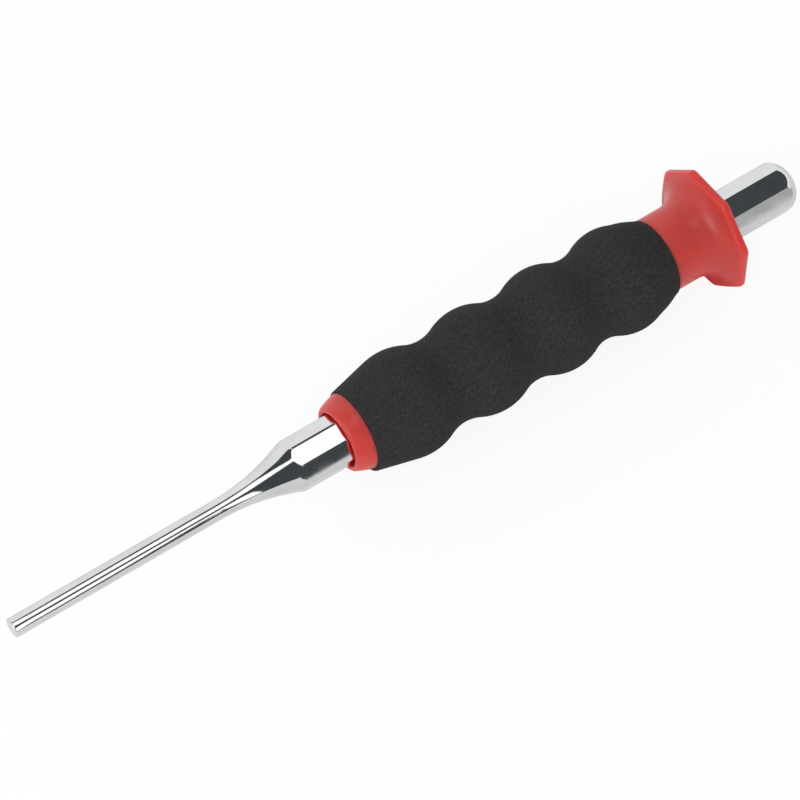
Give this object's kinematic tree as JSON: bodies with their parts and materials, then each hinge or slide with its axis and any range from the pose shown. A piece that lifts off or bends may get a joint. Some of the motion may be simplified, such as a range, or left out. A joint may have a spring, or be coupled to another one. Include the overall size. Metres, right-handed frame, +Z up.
{
  "type": "pin punch",
  "caption": "Parallel pin punch: slim round pin, trumpet neck and octagonal bar in a plastic sheath with an eight-sided hand guard and a waved foam grip.",
  "frame": {"origin": "centre of the flat tip of the pin", "axes": "+X along the tool from the tip to the striking face, +Z up, with a flat of the guard facing -Z"},
  "size_m": [0.178, 0.025, 0.025],
  "materials": {
    "polished_steel": "polished and bright plated",
    "red_plastic": "satin moulded plastic",
    "black_foam": "matte fine-celled foam"
  },
  "bodies": {
    "root": {"punch": "polished_steel", "sheath": "red_plastic", "foam_grip": "black_foam"}
  },
  "joints": []
}
